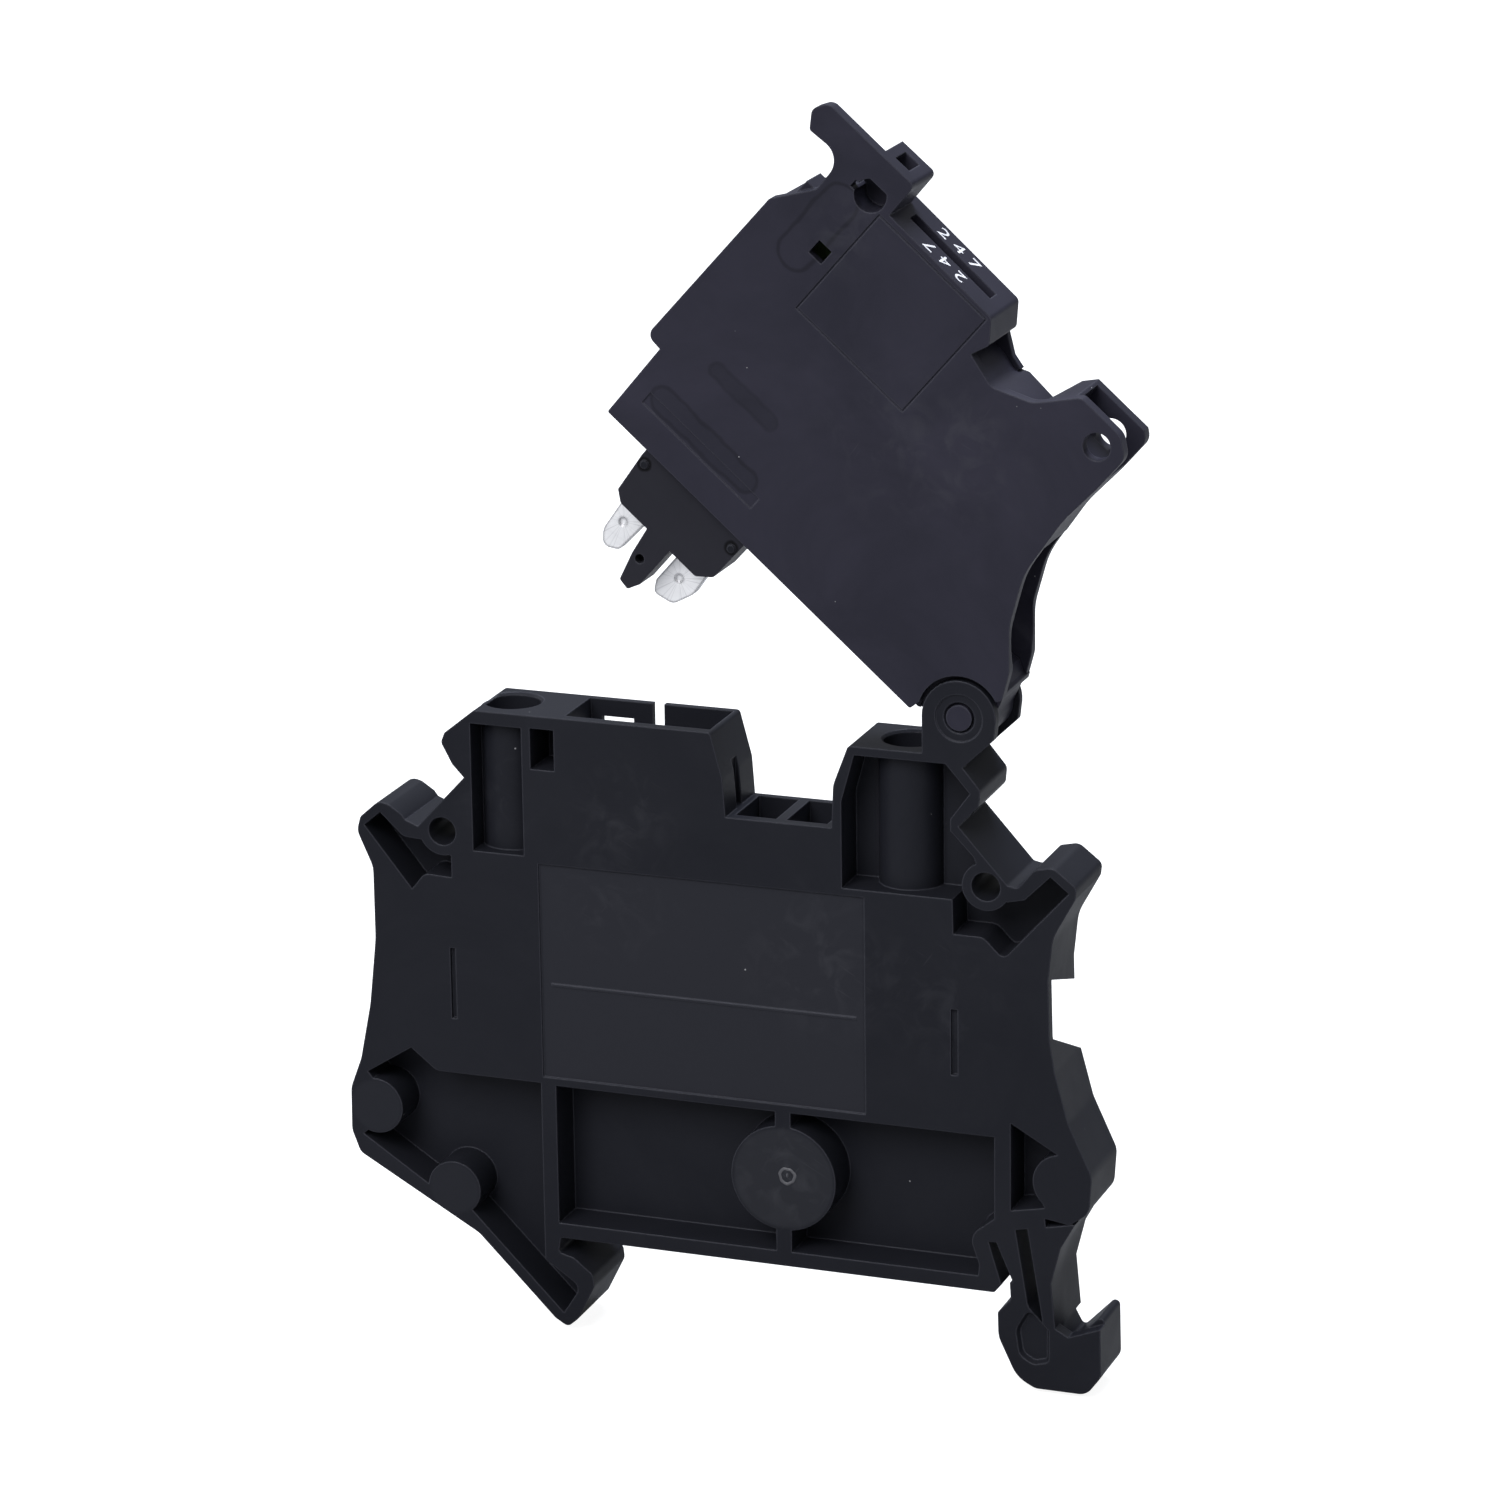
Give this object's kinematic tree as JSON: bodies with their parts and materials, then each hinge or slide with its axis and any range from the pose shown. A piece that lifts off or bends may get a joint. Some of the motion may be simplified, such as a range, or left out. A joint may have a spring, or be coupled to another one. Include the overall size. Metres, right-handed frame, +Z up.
{
  "type": "fuse terminal block",
  "caption": "Slim rail-mounted fuse terminal block with a swing lever that carries a cartridge fuse and plug blades; screw clamps for a conductor at each end.",
  "frame": {"origin": "middle of the rail seat, at mid thickness", "axes": "+X along the block towards the lever's hinge, +Y from the closed side to the open side, +Z up from the rail"},
  "size_m": [0.06, 0.0062, 0.0936],
  "materials": {
    "base_plastic": "satin, fine moulded grain, anthracite black",
    "lever_plastic": "satin, smooth, anthracite black with a faint violet sheen",
    "carrier_plastic": "glossy black",
    "plated_bar": "tin plated",
    "plated_spring": "tin plated",
    "plated_blade": "bright tin plating with fine scratches",
    "zinc_steel": "zinc plated",
    "fuse_glass": "clear",
    "fuse_cap": "nickel plated",
    "fuse_wire": "tinned",
    "board": "green glass fibre board",
    "lamp": "clear red",
    "resistor": "dark lacquer",
    "lead": "tinned"
  },
  "bodies": {
    "lever": {"lever_housing": "lever_plastic", "lever_cover": "lever_plastic", "contact_carrier": "carrier_plastic", "blade_left": "plated_blade", "blade_right": "plated_blade", "fuse_tube": "fuse_glass", "fuse_cap_left": "fuse_cap", "fuse_cap_right": "fuse_cap", "fuse_wire": "fuse_wire", "indicator_board": "board", "indicator_lamp": "lamp", "series_resistor": "resistor", "board_lead_left": "lead", "board_lead_right": "lead"},
    "base": {"housing": "base_plastic", "busbar_left": "plated_bar", "busbar_right": "plated_bar", "fork_left": "plated_spring", "fork_right": "plated_spring"},
    "screw_left": {"clamp_screw_left": "zinc_steel"},
    "screw_right": {"clamp_screw_right": "zinc_steel"},
    "sleeve_left": {"clamp_sleeve_left": "zinc_steel"},
    "sleeve_right": {"clamp_sleeve_right": "zinc_steel"}
  },
  "joints": [
    {"name": "lever_hinge", "type": "hinge", "parent": "base", "child": "lever", "pos_m": [0.0136, 0, 0.0432], "axis": [0, -1, 0], "range_deg": [0, 41.5]},
    {"name": "clamp_screw_left_turn", "type": "hinge", "parent": "base", "child": "screw_left", "pos_m": [-0.0218, 0.0002, 0.03], "axis": [0, 0, -1], "range_deg": [0, 2322]},
    {"name": "clamp_screw_right_turn", "type": "hinge", "parent": "base", "child": "screw_right", "pos_m": [0.009, 0.0002, 0.03], "axis": [0, 0, -1], "range_deg": [0, 2322]},
    {"name": "clamp_sleeve_left_rise", "type": "slide", "parent": "base", "child": "sleeve_left", "axis": [0, 0, 1], "range_m": [0, 0.0032]},
    {"name": "clamp_sleeve_right_rise", "type": "slide", "parent": "base", "child": "sleeve_right", "axis": [0, 0, 1], "range_m": [0, 0.0032]}
  ],
  "couplings": [
    {"joint": "clamp_screw_left_turn", "follows": "clamp_sleeve_left_rise", "rad_per_m": 12566},
    {"joint": "clamp_screw_right_turn", "follows": "clamp_sleeve_right_rise", "rad_per_m": 12566}
  ]
}
